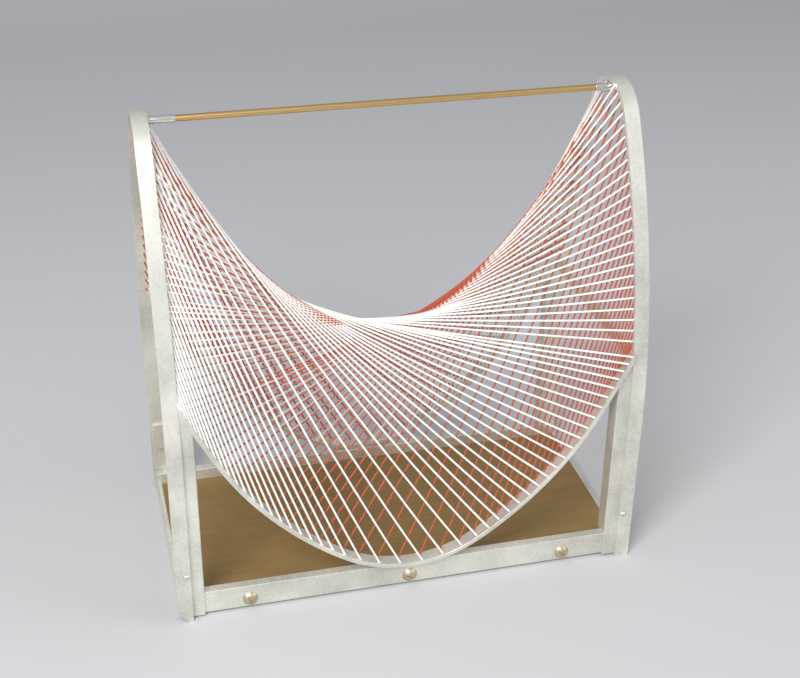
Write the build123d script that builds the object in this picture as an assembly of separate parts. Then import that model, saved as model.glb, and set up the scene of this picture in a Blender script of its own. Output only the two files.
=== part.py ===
from build123d import *
import math
import os

# Strung saddle rack: two bent arches and two bent bows on a shallow base, laced with white and red string.
# Millimetres and degrees. X runs along the handle, Y from front to rear, Z up, floor at Z = 0.

# Bent strip that makes the arches, the bows and the ties
strip_width = 10.0
strip_thickness = 3.0

# Arches, one at each end of the handle
arch_spacing = 310.0            # between the middle planes of the two arches
arch_depth = 162.0              # over the outer faces of an arch's two legs
arch_height = 329.0             # floor to the outside of the crown
crown_radius = 32.0             # outside of the tight bend at the crown
crown_turn = 60.0               # turn of that bend on each side of the top

# Bows, front and rear
bow_bottom_radius = 83.0        # inside of the bend at the bottom
bow_bottom_turn = 32.3          # turn of that bend on each side
bow_flank_radius = 240.5        # inside of the slacker bend above it
bow_end_slope = 62.4            # slope of the straight ends

# Base
base_lift = 1.8                 # floor to the underside of the rails
rail_height = 17.0
rail_thickness = 6.5
rail_edge_radius = 0.6
side_rail_height = 9.0
side_rail_thickness = 3.0
board_thickness = 7.5
board_recess = 1.0              # underside of the board above the underside of the rails

# Corner posts of angle section, and the tie bars between the legs of each arch
post_show = 8.5                 # width of the post that shows inside the leg
post_tuck = 8.0                 # width of the lug behind the leg
post_lug_height = 58.0          # top of that lug above the floor
post_return = 12.0              # depth of the flange that runs inward
post_wall = 2.0
post_heel_radius = 1.2
tie_height = 10.0
tie_thickness = 3.0

# Handle rod and its end ferrules
rod_diameter = 4.2
ferrule_diameter = 5.2
ferrule_slip = 0.05             # radial room between the rod and a ferrule
left_ferrule_show = 17.0        # length of the left ferrule inside the arch
right_ferrule_show = 11.0

# Fasteners
rail_screw_head = 10.5
rail_screw_rise = 3.2           # height of the round head
rail_screw_shank = 3.6
rail_screw_length = 20.0
rail_screw_reach = 111.0        # from the middle screw to the outer ones
rail_screw_level = 6.3          # above the underside of the rail
rivet_head = 4.0
rivet_rise = 1.3
rivet_shank = 2.4
leg_rivet_level = 37.0          # above the floor
leg_rivet_inset = 3.0           # from the inner edge of the leg
hole_room = 0.05                # radial room round every shank

# Stringing
string_diameter = 1.1
string_sides = 8                # flats round a string
string_count = 24               # holes from the middle of a strip to each of its ends
arch_hole_rise = 12.0           # lowest hole of an arch above the top of the bows
bow_hole_drop = 8.0             # highest hole of a bow below its end, along the strip
white_row = 3.5                 # white holes from the inner edge of a strip
red_row = 1.5                   # red holes from the inner edge of a strip

# Places worked out from the sizes above
half_span = arch_spacing / 2
arch_in = half_span - strip_width / 2
arch_out = half_span + strip_width / 2
leg_face = arch_depth / 2
leg_back = leg_face - strip_thickness
rail_face = leg_back - post_wall
rail_back = rail_face - rail_thickness
bow_in = leg_face - strip_width
rail_top = base_lift + rail_height
post_in = arch_in - post_show
post_out = arch_in + post_tuck
board_bottom = base_lift + board_recess

# Arch outline: crown bend, side bend and straight leg, all tangent
crown_angle = math.radians(crown_turn)
crown_centre = arch_height - crown_radius
side_radius = (leg_face - crown_radius * math.sin(crown_angle)) / (1 - math.sin(crown_angle))
side_centre_y = (crown_radius - side_radius) * math.sin(crown_angle)
spring_level = crown_centre + (crown_radius - side_radius) * math.cos(crown_angle)

# Bow outline: bottom bend, flank bend and straight end, all tangent
bottom_angle = math.radians(bow_bottom_turn)
end_angle = math.radians(bow_end_slope)
bow_bottom = rail_top + strip_thickness
flank_centre_x = (bow_bottom_radius - bow_flank_radius) * math.sin(bottom_angle)
flank_centre_z = (bow_bottom + bow_bottom_radius
                  + (bow_flank_radius - bow_bottom_radius) * math.cos(bottom_angle))
flank_end_x = flank_centre_x + bow_flank_radius * math.sin(end_angle)
flank_end_z = flank_centre_z - bow_flank_radius * math.cos(end_angle)
corner_level = flank_end_z + (arch_in - flank_end_x) * math.tan(end_angle)

rod_level = arch_height - strip_thickness - ferrule_diameter / 2


def box_between(low, high):
    """A box given by its lowest and highest corners."""
    size = [b - a for a, b in zip(low, high)]
    return Pos(*low) * Box(*size, align=(Align.MIN, Align.MIN, Align.MIN))


def rod_along(direction, start, diameter, length):
    """A round bar from a point, along a direction."""
    return Solid.make_cylinder(diameter / 2, length, Plane(start, z_dir=direction))


def dome(direction, start, diameter, rise):
    """A round fastener head that stands on a point and rises along a direction."""
    radius = (diameter ** 2 / 4 + rise ** 2) / (2 * rise)
    outline = Line((0, 0), (diameter / 2, 0)) + Line((0, 0), (0, rise))
    outline += RadiusArc((diameter / 2, 0), (0, rise), -radius)
    profile = Plane.XZ * make_face(outline)
    return Plane(start, z_dir=direction) * revolve(profile, Axis.Z)


# Arches
def arch_line(inset):
    """The line of an arch at a depth under its outer face, front foot to rear foot."""
    side_turn = 90 - crown_turn
    leg = Line((-leg_face + inset, 0), (-leg_face + inset, spring_level))
    front = JernArc(leg @ 1, leg % 1, side_radius - inset, -side_turn)
    crown = JernArc(front @ 1, front % 1, crown_radius - inset, -2 * crown_turn)
    rear = JernArc(crown @ 1, crown % 1, side_radius - inset, -side_turn)
    return leg + front + crown + rear + Line(rear @ 1, (leg_face - inset, 0))


def arch_slab(inset):
    """Everything under the line of the right arch at that depth, over the width of the strip."""
    outline = arch_line(inset)
    outline += Line(outline @ 1, outline @ 0)
    return Pos(half_span, 0, 0) * extrude(Plane.YZ * make_face(outline), strip_width / 2, both=True)


def make_arch():
    return arch_slab(0) - arch_slab(strip_thickness)


# Bows
def bow_half(depth):
    """Half the line of a bow at a depth under its inner face, from its bottom to its right end."""
    bottom = JernArc((0, bow_bottom - depth), (1, 0), bow_bottom_radius + depth, bow_bottom_turn)
    flank = JernArc(bottom @ 1, bottom % 1, bow_flank_radius + depth, bow_end_slope - bow_bottom_turn)
    run = arch_in - (flank @ 1).X
    end = Line(flank @ 1, (arch_in, (flank @ 1).Y + run * math.tan(end_angle)))
    return bottom + flank + end


def make_bow():
    outline = Line((arch_in, corner_level), (arch_in, corner_level - strip_thickness / math.cos(end_angle)))
    outline += bow_half(0) + bow_half(strip_thickness)
    outline += mirror(outline, about=Plane.YZ)
    bow = extrude(Plane.XZ * make_face(outline), strip_width / 2, both=True)
    return Pos(0, strip_width / 2 - leg_face, 0) * bow


# Base
def make_rail():
    rail = box_between((-post_out, -rail_face, base_lift), (post_out, -rail_back, rail_top))
    rail = fillet(rail.edges().filter_by(Axis.X), rail_edge_radius)
    for x in rail_screw_places:
        rail -= rod_along((0, 1, 0), (x, -rail_face, rail_screw_z), rail_screw_shank + 2 * hole_room,
                          rail_thickness)
    return rail


def make_side_rail():
    return box_between((post_out - side_rail_thickness, -rail_back, base_lift),
                       (post_out, rail_back, base_lift + side_rail_height))


def make_board():
    edge = post_out - side_rail_thickness
    board = box_between((-edge, -rail_back, board_bottom), (edge, rail_back, board_bottom + board_thickness))
    for side in (-1, 1):
        for x in rail_screw_places:
            board -= rod_along((0, -side, 0), (x, side * rail_back, rail_screw_z), rail_screw_shank,
                               rail_screw_length - rail_thickness)
    return board


# Corner posts and ties
def make_post():
    """The front right post: an angle whose heel shows, seated under the end of the bow."""
    front = box_between((post_in, -leg_back, base_lift), (arch_in, -rail_face, corner_level))
    inward = box_between((post_in, -leg_back, base_lift),
                         (post_in + post_wall, post_return - leg_back, corner_level))
    post = front + inward
    heel = post.edges().filter_by(Axis.Z).group_by(Axis.X)[0].sort_by(Axis.Y)[0]
    post = fillet(heel, post_heel_radius)
    post += box_between((arch_in, -leg_back, base_lift), (post_out, -rail_face, post_lug_height))
    post -= box_between((post_in, -rail_face, base_lift), (post_out, leg_back, rail_top))
    under_bow = (arch_in, 0, corner_level - strip_thickness / math.cos(end_angle))
    slope = Plane(under_bow, z_dir=(math.sin(end_angle), 0, -math.cos(end_angle)))
    post = split(post, bisect_by=slope, keep=Keep.TOP)
    return post - leg_rivet_hole


def make_tie():
    """A bar on edge between the limbs of the right arch, its ends cut to fit them."""
    bar = box_between((arch_in, -leg_back, corner_level - tie_height),
                      (arch_in + tie_thickness, leg_back, corner_level))
    return bar & arch_slab(strip_thickness)


# Handle
def make_rod():
    return rod_along((1, 0, 0), (-arch_out, 0, rod_level), rod_diameter, 2 * arch_out)


def make_ferrule(show):
    """A sleeve on the right end of the rod, from the outer edge of the arch to a length inside it."""
    length = strip_width + show
    start = (arch_in - show, 0, rod_level)
    ferrule = rod_along((1, 0, 0), start, ferrule_diameter, length)
    return ferrule - rod_along((1, 0, 0), start, rod_diameter + 2 * ferrule_slip, length)


# Fasteners
def make_rail_screw(x):
    face = (x, -rail_face, rail_screw_z)
    return (dome((0, -1, 0), face, rail_screw_head, rail_screw_rise)
            + rod_along((0, 1, 0), face, rail_screw_shank, rail_screw_length))


def make_leg_rivet():
    """The rivet of the front right leg, through the leg and the post behind it."""
    face = (leg_rivet_x, -leg_face, leg_rivet_level)
    return (dome((0, -1, 0), face, rivet_head, rivet_rise)
            + rod_along((0, 1, 0), face, rivet_shank, strip_thickness + post_wall))


# Stringing
def arch_hole(index, row):
    """A hole on the inner face of the left arch, counted from the crown, with the face's normal."""
    run = abs(index) * arch_pitch
    radius = crown_radius - strip_thickness
    centre_y = 0
    centre_z = crown_centre
    angle = run / radius
    if angle > crown_angle:
        run -= radius * crown_angle
        radius = side_radius - strip_thickness
        centre_y = side_centre_y
        centre_z = spring_level
        angle = crown_angle + run / radius
    side = math.copysign(1, index)
    across = Vector(0, side * math.sin(angle), math.cos(angle))
    point = Vector(-arch_in - row, side * centre_y, centre_z) + across * radius
    return point, across * -1


def bow_hole(index, row):
    """A hole on the inner face of the front bow, counted from its bottom, with the face's normal."""
    run = abs(index) * bow_pitch
    side = math.copysign(1, index)
    angle = run / bow_bottom_radius
    x = bow_bottom_radius * math.sin(angle)
    z = bow_bottom + bow_bottom_radius * (1 - math.cos(angle))
    if angle > bottom_angle:
        angle = min(bottom_angle + (run - bow_bottom_run) / bow_flank_radius, end_angle)
        past = max(run - bow_bottom_run - bow_flank_run, 0)
        x = flank_centre_x + bow_flank_radius * math.sin(angle) + past * math.cos(angle)
        z = flank_centre_z - bow_flank_radius * math.cos(angle) + past * math.sin(angle)
    return Vector(side * x, -bow_in - row, z), Vector(-side * math.sin(angle), 0, math.cos(angle))


def taut_string(start, start_normal, end, end_normal):
    """A straight string between two strips, trimmed to the faces that it comes out of."""
    along = (end - start).normalized()
    spare = string_diameter / min(along.dot(start_normal), -along.dot(end_normal))
    length = (end - start).length + 2 * spare
    section = RegularPolygon(string_diameter / 2, string_sides)
    line = extrude(Plane(start - along * spare, z_dir=along) * section, length)
    line = split(line, bisect_by=Plane(start, z_dir=start_normal), keep=Keep.TOP)
    return split(line, bisect_by=Plane(end, z_dir=end_normal), keep=Keep.TOP)


def make_strings(row):
    """All the strings of one colour between the left arch and the front bow."""
    strings = []
    for index in range(-string_count, string_count + 1):
        if index == 0:
            continue        # the rod takes the place of the middle string
        strings.append(taut_string(*arch_hole(index, row), *bow_hole(index, row)))
    return Compound(children=strings)


# Runs along the strips that the holes divide evenly
lowest_hole = corner_level + arch_hole_rise
lowest_angle = math.acos((lowest_hole - spring_level) / (side_radius - strip_thickness))
arch_pitch = ((crown_radius - strip_thickness) * crown_angle
              + (side_radius - strip_thickness) * (lowest_angle - crown_angle)) / string_count
bow_bottom_run = bow_bottom_radius * bottom_angle
bow_flank_run = bow_flank_radius * (end_angle - bottom_angle)
bow_end_run = (arch_in - flank_end_x) / math.cos(end_angle)
bow_pitch = (bow_bottom_run + bow_flank_run + bow_end_run - bow_hole_drop) / string_count

# Places of the fasteners
rail_screw_places = (-rail_screw_reach, 0, rail_screw_reach)
rail_screw_z = base_lift + rail_screw_level
leg_rivet_x = arch_in + leg_rivet_inset
leg_rivet_hole = rod_along((0, 1, 0), (leg_rivet_x, -leg_face, leg_rivet_level), rivet_shank + 2 * hole_room,
                           strip_thickness + post_wall)


def flip_x(shape):
    return mirror(shape, about=Plane.YZ)


def flip_y(shape):
    return mirror(shape, about=Plane.XZ)


right_arch = make_arch() - leg_rivet_hole - flip_y(leg_rivet_hole)
front_bow = make_bow()
front_rail = make_rail()
right_rail = make_side_rail()
post = make_post()
right_tie = make_tie()
front_screws = Compound(children=[make_rail_screw(x) for x in rail_screw_places])
leg_rivet = make_leg_rivet()
white_left_front = make_strings(white_row)
red_left_front = make_strings(red_row)

nodes = {
    "base_board": make_board(),
    "front_rail": front_rail,
    "rear_rail": flip_y(front_rail),
    "left_rail": flip_x(right_rail),
    "right_rail": right_rail,
    "left_arch": flip_x(right_arch),
    "right_arch": right_arch,
    "front_bow": front_bow,
    "rear_bow": flip_y(front_bow),
    "front_left_post": flip_x(post),
    "front_right_post": post,
    "rear_left_post": flip_y(flip_x(post)),
    "rear_right_post": flip_y(post),
    "left_tie": flip_x(right_tie),
    "right_tie": right_tie,
    "handle_rod": make_rod(),
    "left_ferrule": flip_x(make_ferrule(left_ferrule_show)),
    "right_ferrule": make_ferrule(right_ferrule_show),
    "front_leg_rivets": Compound(children=[flip_x(leg_rivet), leg_rivet]),
    "rear_leg_rivets": Compound(children=[flip_y(flip_x(leg_rivet)), flip_y(leg_rivet)]),
    "front_rail_screws": front_screws,
    "rear_rail_screws": flip_y(front_screws),
    "white_strings_left_front": white_left_front,
    "white_strings_right_rear": flip_y(flip_x(white_left_front)),
    "red_strings_right_front": flip_x(red_left_front),
    "red_strings_left_rear": flip_y(red_left_front),
}

os.makedirs("parts", exist_ok=True)
for name, shape in nodes.items():
    export_step(shape, f"parts/{name}.step")
print(f"{len(nodes)} nodes, corner level {corner_level:.1f} mm")
print(f"hole pitch {arch_pitch:.2f} mm on an arch, {bow_pitch:.2f} mm on a bow")
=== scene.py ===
# %% [markdown]
# # A strung saddle rack
#
# The rack is two bent arches and two bent bows on a shallow base. White and red cords run from
# strip to strip, and together they make a saddle. The CAD model gives every piece its place. In
# this lesson we give the pieces their looks: soft edges on the metal, twisted cord, the holes that
# the cord goes into, slotted screws and a board of brown hardboard.
#
# We begin by loading the model as a fixed frame.

# %% Load the frame
import math
import bmesh
import bpy
import numpy as np
from mathutils import Matrix, Vector
from mathutils.bvhtree import BVHTree


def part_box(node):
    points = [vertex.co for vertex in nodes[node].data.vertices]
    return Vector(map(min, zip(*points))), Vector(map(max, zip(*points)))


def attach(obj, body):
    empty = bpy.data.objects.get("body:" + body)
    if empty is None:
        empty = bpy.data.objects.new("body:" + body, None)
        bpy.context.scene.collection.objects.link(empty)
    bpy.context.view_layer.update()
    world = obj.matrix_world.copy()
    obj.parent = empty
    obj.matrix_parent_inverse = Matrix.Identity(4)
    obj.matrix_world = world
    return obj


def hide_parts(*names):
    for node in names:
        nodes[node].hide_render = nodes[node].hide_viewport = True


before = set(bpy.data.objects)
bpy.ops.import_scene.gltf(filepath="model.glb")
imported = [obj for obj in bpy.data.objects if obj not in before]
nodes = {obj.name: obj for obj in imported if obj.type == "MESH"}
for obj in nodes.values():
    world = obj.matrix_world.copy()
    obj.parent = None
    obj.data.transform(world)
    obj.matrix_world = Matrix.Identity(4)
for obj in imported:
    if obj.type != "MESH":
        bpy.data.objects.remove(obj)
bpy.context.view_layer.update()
MM = 0.001

# %% [markdown]
# A CAD node can hold many separate solids: one node here holds 48 strings. We split a node into
# its solids by joining vertices that share a place and faces that share a vertex. Each solid then
# tells us where one string or one screw is, so no position is typed in twice.

# %% Split CAD nodes into their solids
PLACE_DIGITS = 7                     # vertices that agree to these decimals of a metre share a place


def solids_of(name):
    """The vertices of each separate solid in a CAD node, as arrays of points in metres."""
    mesh = nodes[name].data
    points = np.zeros(len(mesh.vertices) * 3)
    mesh.vertices.foreach_get("co", points)
    points = points.reshape(-1, 3)
    places, place_of = np.unique(points.round(PLACE_DIGITS), axis=0, return_inverse=True)
    place_of = place_of.ravel()
    parent = list(range(len(places)))

    def root(i):
        while parent[i] != i:
            parent[i] = parent[parent[i]]
            i = parent[i]
        return i

    for face in mesh.polygons:
        corners = [root(place_of[v]) for v in face.vertices]
        for corner in corners[1:]:
            parent[corner] = corners[0]
    groups = {}
    for i in range(len(places)):
        groups.setdefault(root(i), []).append(places[i])
    return [np.array(group) for group in groups.values()]


def string_ends(name):
    """The arch end and the bow end of each string in a node, ordered from front to rear along the arch."""
    ends = []
    for points in solids_of(name):
        middle = points.mean(axis=0)
        axis = np.linalg.svd(points - middle)[2][0]
        side = (points - middle) @ axis > 0
        pair = sorted((points[side].mean(axis=0), points[~side].mean(axis=0)), key=lambda p: -abs(p[0]))
        ends.append((Vector(pair[0]), Vector(pair[1])))
    return sorted(ends, key=lambda pair: pair[0].y)


CORDS = {
    "white_strings_left_front": "white",
    "white_strings_right_rear": "white",
    "red_strings_right_front": "red",
    "red_strings_left_rear": "red",
}
strings = {name: string_ends(name) for name in CORDS}
print("strings:", {name: len(ends) for name, ends in strings.items()})

# %% [markdown]
# ## Shared shader effects
#
# Three node groups serve the materials below. **Mottle** gives an uneven mask from two sizes
# of noise in object coordinates. **Ply** reads an attribute that the cords carry and turns it into
# the slanting ridges of twisted cord; the cord materials also darken the grooves between ridges as
# painted shade. **Fibre** gives short streaks for pressed board. Each group gives out only masks
# and heights; the shader itself stays in the material.

# %% Build the shader groups
# A Mix node has sockets of one name for each type of data, so they go by number.
FACTOR, NUMBER_A, NUMBER_B, NUMBER_RESULT = 0, 2, 3, 0
COLOUR_A, COLOUR_B, COLOUR_RESULT = 6, 7, 2


def add(tree, kind, **settings):
    """A node of that kind, with its properties set by name and its inputs by socket name."""
    node = tree.nodes.new(kind)
    for key, value in settings.items():
        if hasattr(node, key):
            setattr(node, key, value)
        else:
            node.inputs[key.replace("_", " ").title()].default_value = value
    return node


def shader_group(name, inputs, outputs):
    """An empty shader group with those sockets: {name: (type, default)}."""
    tree = bpy.data.node_groups.new(name, "ShaderNodeTree")
    for label, (kind, value) in inputs.items():
        socket = tree.interface.new_socket(label, in_out="INPUT", socket_type=kind)
        socket.default_value = value
    for label in outputs:
        tree.interface.new_socket(label, in_out="OUTPUT", socket_type="NodeSocketFloat")
    return tree, tree.nodes.new("NodeGroupInput"), tree.nodes.new("NodeGroupOutput")


def math_node(tree, operation, first, second=None):
    """The output of a Math node that is fed by sockets or numbers."""
    node = add(tree, "ShaderNodeMath", operation=operation)
    for socket, value in zip(node.inputs, (first, second)):
        if hasattr(value, "is_output"):
            tree.links.new(value, socket)
        elif value is not None:
            socket.default_value = value
    return node.outputs[0]


mottle, given, out = shader_group("Mottle", {
    "Large": ("NodeSocketFloat", 30.0),
    "Small": ("NodeSocketFloat", 400.0),
    "Share": ("NodeSocketFloat", 0.5),
}, ("Mask", "Fine"))
place = add(mottle, "ShaderNodeTexCoord").outputs["Object"]
noises = []
for size, detail in (("Large", 3.0), ("Small", 2.0)):
    noise = add(mottle, "ShaderNodeTexNoise", detail=detail, roughness=0.55)
    mottle.links.new(place, noise.inputs["Vector"])
    mottle.links.new(given.outputs[size], noise.inputs["Scale"])
    noises.append(noise.outputs[0])
blend = add(mottle, "ShaderNodeMix", data_type="FLOAT")
mottle.links.new(given.outputs["Share"], blend.inputs[FACTOR])
mottle.links.new(noises[0], blend.inputs[NUMBER_A])
mottle.links.new(noises[1], blend.inputs[NUMBER_B])
spread = add(mottle, "ShaderNodeMapRange")
mottle.links.new(blend.outputs[NUMBER_RESULT], spread.inputs["Value"])
spread.inputs["From Min"].default_value = 0.32
spread.inputs["From Max"].default_value = 0.68
mottle.links.new(spread.outputs[0], out.inputs["Mask"])
mottle.links.new(noises[1], out.inputs["Fine"])

# Ply's mask also sets cord colour: darker in the grooves between plies, which is painted shade.
ply, given, out = shader_group("Ply", {
    "Plies": ("NodeSocketFloat", 3.0),
    "Pitch": ("NodeSocketFloat", 0.0045),
}, ("Ridge_and_groove_shade",))
carried = add(ply, "ShaderNodeAttribute", attribute_name="ply")
parts = add(ply, "ShaderNodeSeparateXYZ")
ply.links.new(carried.outputs["Vector"], parts.inputs[0])
angle = math_node(ply, "ARCTAN2", parts.outputs["Y"], parts.outputs["X"])
turns = math_node(ply, "DIVIDE", parts.outputs["Z"], given.outputs["Pitch"])
phase = math_node(ply, "ADD", math_node(ply, "MULTIPLY", angle, given.outputs["Plies"]),
                  math_node(ply, "MULTIPLY", turns, 2 * math.pi))
wave = math_node(ply, "ABSOLUTE", math_node(ply, "SINE", math_node(ply, "MULTIPLY", phase, 0.5)))
ply.links.new(wave, out.inputs["Ridge_and_groove_shade"])

fibre, given, out = shader_group("Fibre", {"Scale": ("NodeSocketFloat", 250.0)}, ("Streaks",))
place = add(fibre, "ShaderNodeTexCoord").outputs["Object"]
stretch = add(fibre, "ShaderNodeMapping")
stretch.inputs["Scale"].default_value = (0.22, 1.0, 1.0)
fibre.links.new(place, stretch.inputs["Vector"])
noise = add(fibre, "ShaderNodeTexNoise", detail=4.0, roughness=0.6, distortion=0.8)
fibre.links.new(stretch.outputs[0], noise.inputs["Vector"])
fibre.links.new(given.outputs["Scale"], noise.inputs["Scale"])
fibre.links.new(noise.outputs[0], out.inputs["Streaks"])
print("shader groups:", [g.name for g in bpy.data.node_groups])

# %% [markdown]
# ## Materials
#
# Every material is a Principled shader with two colours mixed by a mask, two roughness values
# mixed by the same mask, and a little bump. Values that don't vary are set on the shader's own
# sockets. Cord is rough and has a soft sheen; bare metal is smoother where it was rubbed.

# %% Make the materials
def material(name, colours, rough, metallic, group, mask, bump, height=None, sheen=0.0, **group_values):
    """A Principled material whose colour and roughness follow a mask from a shader group."""
    made = bpy.data.materials.new(name)
    made.use_nodes = True
    tree = made.node_tree
    shader = tree.nodes["Principled BSDF"]
    shader.inputs["Metallic"].default_value = metallic
    shader.inputs["Sheen Weight"].default_value = sheen
    source = add(tree, "ShaderNodeGroup", node_tree=group)
    for label, value in group_values.items():
        source.inputs[label].default_value = value
    colour = add(tree, "ShaderNodeMix", data_type="RGBA")
    colour.inputs[COLOUR_A].default_value = (*colours[0], 1)
    colour.inputs[COLOUR_B].default_value = (*colours[1], 1)
    tree.links.new(source.outputs[mask], colour.inputs[FACTOR])
    tree.links.new(colour.outputs[COLOUR_RESULT], shader.inputs["Base Color"])
    roughness = add(tree, "ShaderNodeMapRange")
    roughness.inputs["To Min"].default_value = rough[0]
    roughness.inputs["To Max"].default_value = rough[1]
    tree.links.new(source.outputs[mask], roughness.inputs["Value"])
    tree.links.new(roughness.outputs[0], shader.inputs["Roughness"])
    bumps = add(tree, "ShaderNodeBump")
    bumps.inputs["Strength"].default_value = bump[0]
    bumps.inputs["Distance"].default_value = bump[1]
    tree.links.new(source.outputs[height or mask], bumps.inputs["Height"])
    tree.links.new(bumps.outputs[0], shader.inputs["Normal"])
    return made


MATERIALS = {
    "bare_aluminium": material("bare_aluminium", ((0.55, 0.55, 0.48), (0.90, 0.89, 0.79)), (0.48, 0.32), 0.6,
                               mottle, "Mask", (0.08, 0.0002), height="Fine",
                               Large=30.0, Small=500.0, Share=0.3),
    "tinned_sleeve": material("tinned_sleeve", ((0.72, 0.71, 0.68), (0.88, 0.87, 0.84)), (0.32, 0.18), 1.0,
                              mottle, "Mask", (0.15, 0.0003), Large=160.0, Small=700.0, Share=0.3),
    "rivet_metal": material("rivet_metal", ((0.70, 0.70, 0.68), (0.85, 0.85, 0.83)), (0.35, 0.25), 1.0,
                            mottle, "Mask", (0.05, 0.0002), Large=200.0, Small=900.0, Share=0.4),
    "brass": material("brass", ((0.60, 0.38, 0.15), (0.78, 0.53, 0.23)), (0.42, 0.28), 1.0,
                      mottle, "Mask", (0.05, 0.0002), height="Fine", Large=60.0, Small=800.0, Share=0.35),
    "hardboard": material("hardboard", ((0.17, 0.105, 0.033), (0.29, 0.185, 0.062)), (0.62, 0.50), 0.0,
                          fibre, "Streaks", (0.06, 0.0003), Scale=120.0),
    # Cord: the first colour, in the grooves between plies, is painted shade; the second is on the crests.
    "white_string": material("white_string", ((0.78, 0.75, 0.67), (0.95, 0.94, 0.89)), (0.85, 0.70), 0.0,
                             ply, "Ridge_and_groove_shade", (0.8, 0.0002), sheen=0.25),
    "red_string": material("red_string", ((0.31, 0.036, 0.014), (0.63, 0.118, 0.046)), (0.85, 0.70), 0.0,
                           ply, "Ridge_and_groove_shade", (0.8, 0.0002), sheen=0.25),
    "pale_brass": material("pale_brass", ((0.46, 0.38, 0.25), (0.70, 0.61, 0.43)), (0.55, 0.40), 1.0,
                           mottle, "Mask", (0.05, 0.0002), height="Fine", Large=150.0, Small=800.0),
    "hole_shadow": material("hole_shadow", ((0.05, 0.045, 0.04), (0.10, 0.09, 0.08)), (0.8, 0.7), 0.0,
                            mottle, "Mask", (0.0, 0.0001)),
}
print("materials:", len(MATERIALS))

# %% [markdown]
# ## Soft edges on the metal
#
# CAD strips have knife edges. We copy each node, weld its vertices, merge the flat triangles into
# whole faces and bevel the sharp edges by a fraction of a millimetre, so that they catch light.
# Weighted normals then keep the broad faces flat while the bevels stay smooth. One thing that the
# photograph shows is put right on the copies: the front left foot has lost its outer corner.

# %% Copy the CAD pieces with bevelled edges
LOST_CORNER = {"left_arch": (7 * MM, 6.5 * MM)}      # width and height, on the front foot
TOUCHING = 1e-6                      # metres
WELD = 2e-6                          # metres
FLAT_ANGLE = math.radians(0.3)
SHARP_ANGLE = math.radians(32)
BEVEL_STEPS = 2
NORMAL_WEIGHT = 90


def own(piece, slot, *replaced):
    """A finished piece: it rides on the only body and may stand for CAD nodes. The slot argument is not
    used.
    """
    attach(piece, "root")
    if replaced:
        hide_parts(*replaced)
    return piece


def plain_mesh(temporary, name, slot):
    """Evaluates an object's modifiers into a new plain mesh object and removes the old one."""
    graph = bpy.context.evaluated_depsgraph_get()
    mesh = bpy.data.meshes.new_from_object(temporary.evaluated_get(graph), depsgraph=graph)
    bpy.data.objects.remove(temporary)
    mesh.name = name
    mesh.materials.clear()
    mesh.materials.append(MATERIALS[slot])
    piece = bpy.data.objects.new(name, mesh)
    bpy.context.scene.collection.objects.link(piece)
    return piece


def lose_corner(shape, width, height):
    """Slopes the outer part of an arch's front foot upwards."""
    foot = next(f for f in shape.faces if all(v.co.z < TOUCHING and v.co.y < 0 for v in f.verts))
    reach = max(abs(v.co.x) for v in foot.verts)
    outer = [v for v in foot.verts if abs(v.co.x) > reach - TOUCHING]
    breaks = []
    for vertex in outer:
        edge = next(e for e in vertex.link_edges if abs(e.other_vert(vertex).co.x) < reach - TOUCHING)
        breaks.append(bmesh.utils.edge_split(edge, vertex, width / edge.calc_length())[1])
    bmesh.utils.face_split(foot, *breaks)
    for vertex in outer:
        above = max((e.other_vert(vertex) for e in vertex.link_edges), key=lambda v: v.co.z)
        vertex.co += (above.co - vertex.co).normalized() * height


def softened(name, slot, width):
    """A copy of a CAD node with bevelled edges, standing for that node."""
    shape = bmesh.new()
    shape.from_mesh(nodes[name].data)
    bmesh.ops.remove_doubles(shape, verts=shape.verts, dist=WELD)
    bmesh.ops.dissolve_limit(shape, angle_limit=FLAT_ANGLE, verts=shape.verts, edges=shape.edges)
    if name in LOST_CORNER:
        lose_corner(shape, *LOST_CORNER[name])
    sharp = [e for e in shape.edges if len(e.link_faces) == 2 and e.calc_face_angle() > SHARP_ANGLE]
    bmesh.ops.bevel(shape, geom=sharp, offset=width, segments=BEVEL_STEPS, profile=0.5, affect="EDGES",
                    clamp_overlap=True)
    mesh = bpy.data.meshes.new(name + "_soft")
    shape.to_mesh(mesh)
    shape.free()
    mesh.shade_smooth()
    temporary = bpy.data.objects.new(name + "_soft", mesh)
    bpy.context.scene.collection.objects.link(temporary)
    weighted = temporary.modifiers.new("weighted", "WEIGHTED_NORMAL")
    weighted.weight = NORMAL_WEIGHT
    return own(plain_mesh(temporary, name + "_soft", slot), slot, name)


SOFT = {
    "bare_aluminium": (("left_arch", "right_arch", "front_bow", "rear_bow", "left_tie", "right_tie",
                        "front_left_post", "front_right_post", "rear_left_post", "rear_right_post",
                        "front_rail", "rear_rail", "left_rail", "right_rail"), 0.35 * MM),
    "hardboard": (("base_board",), 0.3 * MM),
    "brass": (("handle_rod",), 0.5 * MM),
    "tinned_sleeve": (("left_ferrule", "right_ferrule"), 0.35 * MM),
    "rivet_metal": (("front_leg_rivets", "rear_leg_rivets"), 0.1 * MM),
}
for slot_name, (names, width) in SOFT.items():
    for name in names:
        piece = softened(name, slot_name, width)
        print(piece.name, len(piece.data.polygons), "faces")

# %% [markdown]
# ## Cord made by Geometry Nodes
#
# One node tree makes every cord. Its input is a curve; it sweeps a circle along the curve and stores
# an attribute called `ply`: the direction round the cord in X and Y, and the distance along it in Z.
# The Ply shader group reads that attribute, so the twist, with the painted shade in its grooves, follows
# each cord wherever it goes.

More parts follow.
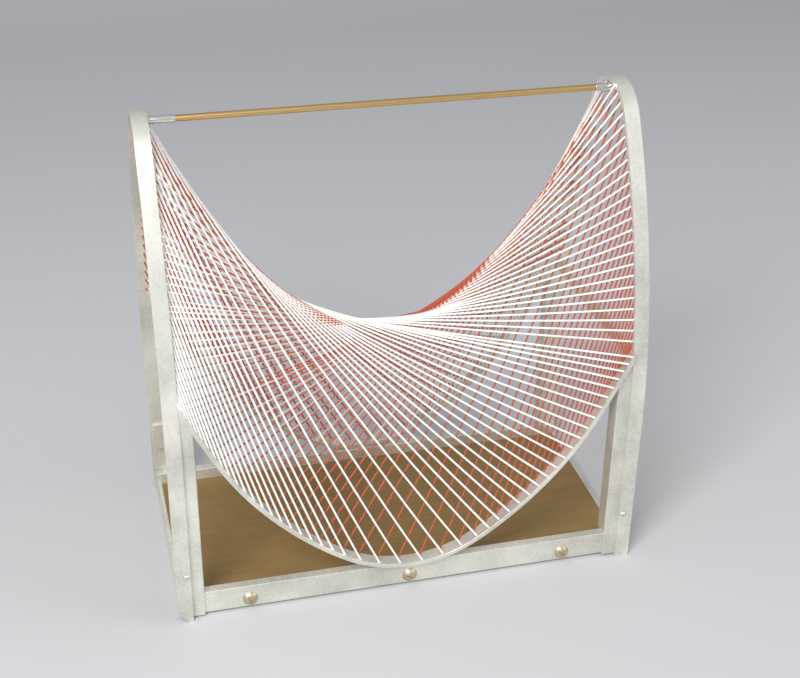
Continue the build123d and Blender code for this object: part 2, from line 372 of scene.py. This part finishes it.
# %% Build the cord tree
def geometry_tree(name, sockets):
    """An empty geometry tree with those inputs: {name: (type, default)}."""
    tree = bpy.data.node_groups.new(name, "GeometryNodeTree")
    tree.interface.new_socket("Geometry", in_out="INPUT", socket_type="NodeSocketGeometry")
    for label, (kind, value) in sockets.items():
        socket = tree.interface.new_socket(label, in_out="INPUT", socket_type=kind)
        if value is not None:
            socket.default_value = value
    tree.interface.new_socket("Geometry", in_out="OUTPUT", socket_type="NodeSocketGeometry")
    return tree, tree.nodes.new("NodeGroupInput"), tree.nodes.new("NodeGroupOutput")


def capture(tree, geometry, value, kind):
    """Captures a value on the points of a curve and gives back the geometry and the value."""
    node = tree.nodes.new("GeometryNodeCaptureAttribute")
    node.capture_items.new(kind, "Value")
    tree.links.new(geometry, node.inputs[0])
    tree.links.new(value, node.inputs[1])
    return node.outputs[0], node.outputs[1]


cord_tree, given, out = geometry_tree("Cord", {
    "Radius": ("NodeSocketFloat", 0.7 * MM),
    "Sides": ("NodeSocketInt", 12),
    "Material": ("NodeSocketMaterial", None),
})
run = cord_tree.nodes.new("GeometryNodeSplineParameter")
path, length = capture(cord_tree, given.outputs["Geometry"], run.outputs["Length"], "FLOAT")
circle = add(cord_tree, "GeometryNodeCurvePrimitiveCircle")
cord_tree.links.new(given.outputs["Sides"], circle.inputs["Resolution"])
cord_tree.links.new(given.outputs["Radius"], circle.inputs["Radius"])
where = cord_tree.nodes.new("GeometryNodeInputPosition")
unit = add(cord_tree, "ShaderNodeVectorMath", operation="NORMALIZE")
cord_tree.links.new(where.outputs[0], unit.inputs[0])
profile, around = capture(cord_tree, circle.outputs["Curve"], unit.outputs[0], "VECTOR")
sweep = cord_tree.nodes.new("GeometryNodeCurveToMesh")
cord_tree.links.new(path, sweep.inputs["Curve"])
cord_tree.links.new(profile, sweep.inputs["Profile Curve"])
sweep.inputs["Fill Caps"].default_value = True
split = cord_tree.nodes.new("ShaderNodeSeparateXYZ")
joined = cord_tree.nodes.new("ShaderNodeCombineXYZ")
cord_tree.links.new(around, split.inputs[0])
cord_tree.links.new(split.outputs["X"], joined.inputs["X"])
cord_tree.links.new(split.outputs["Y"], joined.inputs["Y"])
cord_tree.links.new(length, joined.inputs["Z"])
store = add(cord_tree, "GeometryNodeStoreNamedAttribute", data_type="FLOAT_VECTOR", domain="POINT")
store.inputs["Name"].default_value = "ply"
cord_tree.links.new(sweep.outputs[0], store.inputs["Geometry"])
cord_tree.links.new(joined.outputs[0], store.inputs["Value"])
smooth = cord_tree.nodes.new("GeometryNodeSetShadeSmooth")
cord_tree.links.new(store.outputs[0], smooth.inputs[0])
real = cord_tree.nodes.new("GeometryNodeRealizeInstances")
cord_tree.links.new(smooth.outputs[0], real.inputs[0])
paint = cord_tree.nodes.new("GeometryNodeSetMaterial")
cord_tree.links.new(real.outputs[0], paint.inputs["Geometry"])
cord_tree.links.new(given.outputs["Material"], paint.inputs["Material"])
cord_tree.links.new(paint.outputs[0], out.inputs[0])
print("cord tree:", len(cord_tree.nodes), "nodes")


def run_tree(base, tree, name, slot, **values):
    """Runs a tree on an object's data, with inputs by name, and gives back the plain mesh it makes."""
    bpy.context.scene.collection.objects.link(base)
    modifier = base.modifiers.new(tree.name, "NODES")
    modifier.node_group = tree
    for item in tree.interface.items_tree:
        if item.in_out == "INPUT" and item.name in values:
            modifier[item.identifier] = values[item.name]
        elif item.in_out == "INPUT" and item.name == "Material":
            modifier[item.identifier] = MATERIALS[slot]
    return plain_mesh(base, name, slot)


def cords(paths, name, slot, **values):
    """Cords along lists of points."""
    curve = bpy.data.curves.new(name, "CURVE")
    curve.dimensions = "3D"
    for points in paths:
        spline = curve.splines.new("POLY")
        spline.points.add(len(points) - 1)
        for target, point in zip(spline.points, points):
            target.co = (*point, 1)
    return run_tree(bpy.data.objects.new(name, curve), cord_tree, name, slot, **values)

# %% [markdown]
# ## Where the strings run
#
# The strings rule a saddle. Seen from above, all strings of one colour are parallel: a string that
# leaves an arch at some share of its half depth meets a bow at the same share of its half width. The
# holes are evenly spaced along an arch, so on a bow they stand widest apart at the bottom, as the
# photograph shows. We step along the row of CAD string ends on an arch, read the place on the bow from
# the rule, and set both points onto the nearest face of their strip. Each colour has its own row of
# holes: on an arch it is measured from the inner edge, on a bow from the front edge.

# %% Find both holes of every string
HOLE_PITCH = 7.6 * MM
HOLES_PER_LIMB = 24
ARCH_ROW = {"white": 1.8 * MM, "red": 4.0 * MM}
BOW_ROW = {"white": 1.8 * MM, "red": 8.2 * MM}


def lengthened(row):
    """A row of points with one more step at each end."""
    return np.array([2 * row[0] - row[1], *row, 2 * row[-1] - row[-2]])


def row_place(near, far, inset):
    """The place of a row of holes across a strip, at a distance from its near edge."""
    return near + math.copysign(inset, far - near)


def surface(name):
    """A search tree over the faces of a CAD node."""
    mesh = nodes[name].data
    return BVHTree.FromPolygons([v.co for v in mesh.vertices], [p.vertices for p in mesh.polygons])


def ruled(ends, arch, bow, colour):
    """The arch hole and the bow hole of each string, each as a point and the direction of its face."""
    arch_row = lengthened(sorted((pair[0] for pair in ends), key=lambda p: p.y))
    bow_row = lengthened(sorted((pair[1] for pair in ends), key=lambda p: p.x))
    run = np.insert(np.cumsum(np.linalg.norm(np.diff(arch_row, axis=0), axis=1)), 0, 0.0)
    run -= run[-1] / 2
    share = ends[-1][1].x / ends[-1][0].y
    inner, outer = sorted((corner.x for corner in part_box(arch)), key=abs)
    front, rear = (corner.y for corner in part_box(bow))
    arch_x = row_place(inner, outer, ARCH_ROW[colour])
    bow_y = row_place(front, rear, BOW_ROW[colour])
    arch_faces, bow_faces = surface(arch), surface(bow)
    holes = []
    for k in range(-HOLES_PER_LIMB, HOLES_PER_LIMB):
        on_arch = [np.interp((k + 0.5) * HOLE_PITCH, run, arch_row[:, axis]) for axis in range(3)]
        x = share * on_arch[1]
        on_arch[0] = arch_x
        on_bow = (x, bow_y, np.interp(x, bow_row[:, 0], bow_row[:, 2]))
        holes.append((arch_faces.find_nearest(on_arch)[:2], bow_faces.find_nearest(on_bow)[:2]))
    return holes


STRIPS = {
    "white_strings_left_front": ("left_arch", "front_bow"),
    "white_strings_right_rear": ("right_arch", "rear_bow"),
    "red_strings_right_front": ("right_arch", "front_bow"),
    "red_strings_left_rear": ("left_arch", "rear_bow"),
}
string_holes = {name: ruled(strings[name], *STRIPS[name], colour) for name, colour in CORDS.items()}
for name, holes in string_holes.items():
    gaps = [(b[1][0] - a[1][0]).length / MM for a, b in zip(holes, holes[1:])]
    print(name, "gaps on the bow, mm:", round(max(gaps), 1), "at the bottom,",
          round(min(gaps), 1), "at the ends")

# %% [markdown]
# ## Hang the strings
#
# The strings aren't quite tight: each hangs in a shallow parabola, and its sag grows with the square of
# its length. Only the white strings that run nearly from corner to corner are drawn tighter. The white
# rows lie nearer the inner edges of the arches, so white passes in front of red. Most red cords hang a
# little less than white ones, so right of the middle a line of red shows above the edge of the saddle.
# Each cord runs a little way into its strips, so that no cut end shows.

# %% Hang the strings between the strips
CORD_RADIUS = {"white": 0.70 * MM, "red": 0.60 * MM}
INTO_STRIP = 1.2 * MM
CORD_STEPS = 14
LONG_CORD = 350 * MM
LONG_CORD_SAG = {"white": 9.3 * MM, "red": 7.9 * MM}
DIAGONAL = 345 * MM                  # from corner to corner in plan
WHITE_TIGHTENS = 45 * MM             # the white strings tighten over this last part of it


def hanging(start, end, long_sag):
    """Points along a cord that sags between two holes, with its ends inside the strips."""
    sag = long_sag * ((end - start).length / LONG_CORD) ** 2
    shares = [step / CORD_STEPS for step in range(CORD_STEPS + 1)]
    points = [start.lerp(end, u) - Vector((0, 0, 4 * sag * u * (1 - u))) for u in shares]
    first = points[0] + (points[0] - points[1]).normalized() * INTO_STRIP
    last = points[-1] + (points[-1] - points[-2]).normalized() * INTO_STRIP
    return [first, *points, last]


def slack(start, end, colour):
    """The share of its sag that a string keeps: white loses it as its plan length nears the diagonal."""
    flat = (end - start).to_2d().length
    return min(1.0, (DIAGONAL - flat) / WHITE_TIGHTENS) if colour == "white" else 1.0


for name, colour in CORDS.items():
    ends = [(arch_hole[0], bow_hole[0]) for arch_hole, bow_hole in string_holes[name]]
    paths = [hanging(*pair, LONG_CORD_SAG[colour] * slack(*pair, colour)) for pair in ends]
    cord = cords(paths, name + "_cord", colour + "_string", Radius=CORD_RADIUS[colour])
    piece = own(cord, colour + "_string", name)
    lengths = [sum((b - a).length for a, b in zip(path, path[1:])) / MM for path in paths]
    print(piece.name, len(piece.data.polygons), "faces, cords of", round(min(lengths)), "to",
          round(max(lengths)), "mm")

# %% [markdown]
# ## Holes and screws placed on points
#
# The holes in the strips and the screw heads repeat, so a second tree sets a shape on every point of
# a mesh. Each point carries an attribute called `facing`, the direction that the shape looks in, and
# one called `spin`, its turn about that direction. The tree turns each copy, lifts it a little off the
# face, makes it real and gives it a material.

# %% Build the placing tree
place_tree, given, out = geometry_tree("Place", {
    "Shape": ("NodeSocketObject", None),
    "Lift": ("NodeSocketFloat", 0.0),
    "Material": ("NodeSocketMaterial", None),
})
facing = add(place_tree, "GeometryNodeInputNamedAttribute", data_type="FLOAT_VECTOR")
facing.inputs["Name"].default_value = "facing"
spin = add(place_tree, "GeometryNodeInputNamedAttribute", data_type="FLOAT")
spin.inputs["Name"].default_value = "spin"
offset = add(place_tree, "ShaderNodeVectorMath", operation="SCALE")
place_tree.links.new(facing.outputs["Attribute"], offset.inputs[0])
place_tree.links.new(given.outputs["Lift"], offset.inputs["Scale"])
raised = place_tree.nodes.new("GeometryNodeSetPosition")
place_tree.links.new(given.outputs["Geometry"], raised.inputs["Geometry"])
place_tree.links.new(offset.outputs[0], raised.inputs["Offset"])
align = add(place_tree, "FunctionNodeAlignRotationToVector", axis="Z")
place_tree.links.new(facing.outputs["Attribute"], align.inputs["Vector"])
about = place_tree.nodes.new("FunctionNodeAxisAngleToRotation")
about.inputs["Axis"].default_value = (0, 0, 1)
place_tree.links.new(spin.outputs["Attribute"], about.inputs["Angle"])
both = add(place_tree, "FunctionNodeRotateRotation", rotation_space="LOCAL")
place_tree.links.new(align.outputs[0], both.inputs[0])
place_tree.links.new(about.outputs[0], both.inputs[1])
shape_in = place_tree.nodes.new("GeometryNodeObjectInfo")
place_tree.links.new(given.outputs["Shape"], shape_in.inputs["Object"])
copies = place_tree.nodes.new("GeometryNodeInstanceOnPoints")
place_tree.links.new(raised.outputs[0], copies.inputs["Points"])
place_tree.links.new(shape_in.outputs["Geometry"], copies.inputs["Instance"])
place_tree.links.new(both.outputs[0], copies.inputs["Rotation"])
real = place_tree.nodes.new("GeometryNodeRealizeInstances")
place_tree.links.new(copies.outputs[0], real.inputs[0])
paint = place_tree.nodes.new("GeometryNodeSetMaterial")
place_tree.links.new(real.outputs[0], paint.inputs["Geometry"])
place_tree.links.new(given.outputs["Material"], paint.inputs["Material"])
place_tree.links.new(paint.outputs[0], out.inputs[0])
print("placing tree:", len(place_tree.nodes), "nodes")


def placed(points, directions, spins, shape, name, slot, **values):
    """Copies of a shape on points, each looking in its own direction."""
    mesh = bpy.data.meshes.new(name)
    mesh.from_pydata([tuple(p) for p in points], [], [])
    looks = mesh.attributes.new("facing", "FLOAT_VECTOR", "POINT")
    looks.data.foreach_set("vector", np.array(directions).ravel())
    turns = mesh.attributes.new("spin", "FLOAT", "POINT")
    turns.data.foreach_set("value", np.array(spins, float))
    piece = run_tree(bpy.data.objects.new(name, mesh), place_tree, name, slot, Shape=shape, **values)
    bpy.data.objects.remove(shape)
    return piece


def shape_object(name, shape):
    """An object from a bmesh, for a tree to copy."""
    mesh = bpy.data.meshes.new(name)
    shape.to_mesh(mesh)
    shape.free()
    made = bpy.data.objects.new(name, mesh)
    bpy.context.scene.collection.objects.link(made)
    return made

# %% [markdown]
# ## String holes
#
# Every string goes into a small hole in its strip. A dark disc on the face, a painted shadow, stands for
# the mouth of the hole. The points and the directions are the ones that we found above.

# %% Set the string holes
HOLE_RADIUS = 0.85 * MM
HOLE_SIDES = 10
HOLE_LIFT = 0.04 * MM
hole_mouths = [mouth for holes in string_holes.values() for pair in holes for mouth in pair]
hole_points = [mouth[0] for mouth in hole_mouths]
hole_normals = [mouth[1] for mouth in hole_mouths]
# The dark disc is painted shadow: the shaded inside of each string hole.
disc = bmesh.new()
bmesh.ops.create_circle(disc, cap_ends=True, radius=HOLE_RADIUS, segments=HOLE_SIDES)
own(placed(hole_points, hole_normals, [0.0] * len(hole_points), shape_object("hole", disc),
           "string_holes", "hole_shadow", Lift=HOLE_LIFT), "bare_aluminium")
print("string holes:", len(hole_points))

# %% [markdown]
# ## Slotted screws
#
# A screw head is a low dome with a slot. We spin an outline round an axis to get the dome and cut the
# slot with a boolean box. The size of the heads and the place of each come from the CAD solids. The
# slots stop at different angles, as they do when screws are driven by hand; a fixed seed keeps them
# the same.

# %% Set the screw heads
RIM_LOW, RIM_HIGH = -0.2 * MM, 0.25 * MM      # the rim starts just inside the rail
DOME_STEPS = 8
HEAD_SIDES = 40
SLOT_WIDTH = 1.3 * MM
SLOT_DEPTH = 1.2 * MM
HEAD_BEVEL = 0.12 * MM
HEAD_EDGE = math.radians(40)
SLOT_SEED = 7


def screw_head(radius, rise):
    """A slotted round head that stands on the XY plane."""
    curve_radius = (radius ** 2 + rise ** 2) / (2 * rise)
    shape = bmesh.new()
    line = [shape.verts.new((radius, 0, RIM_LOW)), shape.verts.new((radius, 0, RIM_HIGH))]
    for step in range(1, DOME_STEPS + 1):
        x = radius * math.cos(math.pi / 2 * step / DOME_STEPS)
        level = math.sqrt(curve_radius ** 2 - x ** 2) - curve_radius + rise
        line.append(shape.verts.new((x, 0, max(level, RIM_HIGH))))
    edges = [shape.edges.new(pair) for pair in zip(line, line[1:])]
    bmesh.ops.spin(shape, geom=line + edges, cent=(0, 0, 0), axis=(0, 0, 1), angle=2 * math.pi,
                   steps=HEAD_SIDES)
    bmesh.ops.remove_doubles(shape, verts=shape.verts, dist=TOUCHING)
    rim = [e for e in shape.edges if e.is_boundary]
    bmesh.ops.contextual_create(shape, geom=rim)
    bmesh.ops.recalc_face_normals(shape, faces=shape.faces)
    head = shape_object("head", shape)
    box = bmesh.new()
    bmesh.ops.create_cube(box, size=1.0)
    bmesh.ops.scale(box, vec=(3 * radius, SLOT_WIDTH, 2 * SLOT_DEPTH), verts=box.verts)
    bmesh.ops.translate(box, vec=(0, 0, rise), verts=box.verts)
    cutter = shape_object("slot", box)
    cut = head.modifiers.new("slot", "BOOLEAN")
    cut.object = cutter
    cut.operation = "DIFFERENCE"
    bevel = head.modifiers.new("edge", "BEVEL")
    bevel.width = HEAD_BEVEL
    bevel.limit_method = "ANGLE"
    bevel.angle_limit = HEAD_EDGE
    finished = plain_mesh(head, "screw_head", "pale_brass")
    bpy.data.objects.remove(cutter)
    finished.data.shade_smooth()
    finished.data.set_sharp_from_angle(angle=HEAD_EDGE)
    return finished


rng = np.random.default_rng(SLOT_SEED)
screw_points = []
screw_normals = []
for rail, side in (("front_rail", -1), ("rear_rail", 1)):
    low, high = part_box(rail)
    face = low.y if side < 0 else high.y
    for points in solids_of(rail + "_screws"):
        low_point, high_point = points.min(axis=0), points.max(axis=0)
        screw_points.append(((low_point[0] + high_point[0]) / 2, face, (low_point[2] + high_point[2]) / 2))
        screw_normals.append((0, side, 0))
        head_radius = (high_point[0] - low_point[0]) / 2
        head_rise = max(abs(low_point[1]), abs(high_point[1])) - abs(face)
spins = rng.uniform(0, math.pi, len(screw_points))
own(placed(screw_points, screw_normals, spins, screw_head(head_radius, head_rise),
           "rail_screw_heads", "pale_brass"), "brass", "front_rail_screws", "rear_rail_screws")
print("screw heads:", len(screw_points), "radius", round(head_radius / MM, 2), "mm")

# %% [markdown]
# ## Floor, light and camera
#
# A pale floor that curves up behind the rack, one broad soft light from the upper left, a weaker
# one from the right and an even grey sky. The camera stands where the photographer stood: a little
# to the left, well above the rack.

# %% Set the stage
scene = bpy.context.scene
scene.view_settings.view_transform = "Standard"

FLOOR_FRONT, FLOOR_BACK, FLOOR_SIDE = -3.0, 1.2, 4.0      # metres
SWEEP_RADIUS, SWEEP_STEPS, WALL_TOP = 0.8, 12, 3.0
floor_mesh = bpy.data.meshes.new("floor")
profile_line = [(FLOOR_FRONT, 0.0), (FLOOR_BACK, 0.0)]
for step in range(1, SWEEP_STEPS + 1):
    turn = math.radians(90 * step / SWEEP_STEPS)
    profile_line.append((FLOOR_BACK + SWEEP_RADIUS * math.sin(turn), SWEEP_RADIUS * (1 - math.cos(turn))))
profile_line.append((FLOOR_BACK + SWEEP_RADIUS, WALL_TOP))
corners = [(x, y, z) for y, z in profile_line for x in (-FLOOR_SIDE, FLOOR_SIDE)]
faces = [(2 * i, 2 * i + 1, 2 * i + 3, 2 * i + 2) for i in range(len(profile_line) - 1)]
floor_mesh.from_pydata(corners, [], faces)
floor_mesh.shade_smooth()
paper = bpy.data.materials.new("paper")
paper.use_nodes = True
paper.node_tree.nodes["Principled BSDF"].inputs["Base Color"].default_value = (0.55, 0.55, 0.56, 1)
paper.node_tree.nodes["Principled BSDF"].inputs["Roughness"].default_value = 0.9
floor_mesh.materials.append(paper)
floor = bpy.data.objects.new("floor", floor_mesh)
scene.collection.objects.link(floor)

world = bpy.data.worlds.new("sky")
world.use_nodes = True
world.node_tree.nodes["Background"].inputs["Color"].default_value = (0.80, 0.82, 0.86, 1)
world.node_tree.nodes["Background"].inputs["Strength"].default_value = 0.62
scene.world = world


def area_light(name, place, aim, size, power):
    """A square light that looks at a point."""
    light = bpy.data.lights.new(name, "AREA")
    light.size = size
    light.energy = power
    lamp = bpy.data.objects.new(name, light)
    lamp.location = place
    lamp.rotation_euler = (Vector(aim) - Vector(place)).to_track_quat("-Z", "Y").to_euler()
    scene.collection.objects.link(lamp)


RACK_MIDDLE = (0, 0, 0.15)
area_light("key", (-0.75, -1.05, 1.25), RACK_MIDDLE, 0.7, 26.0)
area_light("fill", (1.3, -0.6, 0.9), RACK_MIDDLE, 1.0, 7.0)

AZIMUTH = math.radians(14.891)
ELEVATION = math.radians(29.221)
ROLL = math.radians(0.944)
CAMERA_TARGET = Vector((0.01479, 0, 0.14783))
CAMERA_DISTANCE = 0.98699
forward = Vector((math.sin(AZIMUTH) * math.cos(ELEVATION), math.cos(AZIMUTH) * math.cos(ELEVATION),
                  -math.sin(ELEVATION)))
level_right = forward.cross(Vector((0, 0, 1))).normalized()
level_up = level_right.cross(forward)
right = level_right * math.cos(ROLL) + level_up * math.sin(ROLL)
up = level_up * math.cos(ROLL) - level_right * math.sin(ROLL)
lens = bpy.data.cameras.new("camera")
lens.sensor_width = 36.0
lens.sensor_fit = "HORIZONTAL"
lens.lens = 64.24
lens.shift_x = -0.00745
lens.shift_y = 0.00566
camera = bpy.data.objects.new("camera", lens)
turn = Matrix((right, up, -forward)).transposed().to_4x4()
camera.matrix_world = Matrix.Translation(CAMERA_TARGET - forward * CAMERA_DISTANCE) @ turn
scene.collection.objects.link(camera)
scene.camera = camera
print("camera at", [round(v, 3) for v in camera.matrix_world.translation])
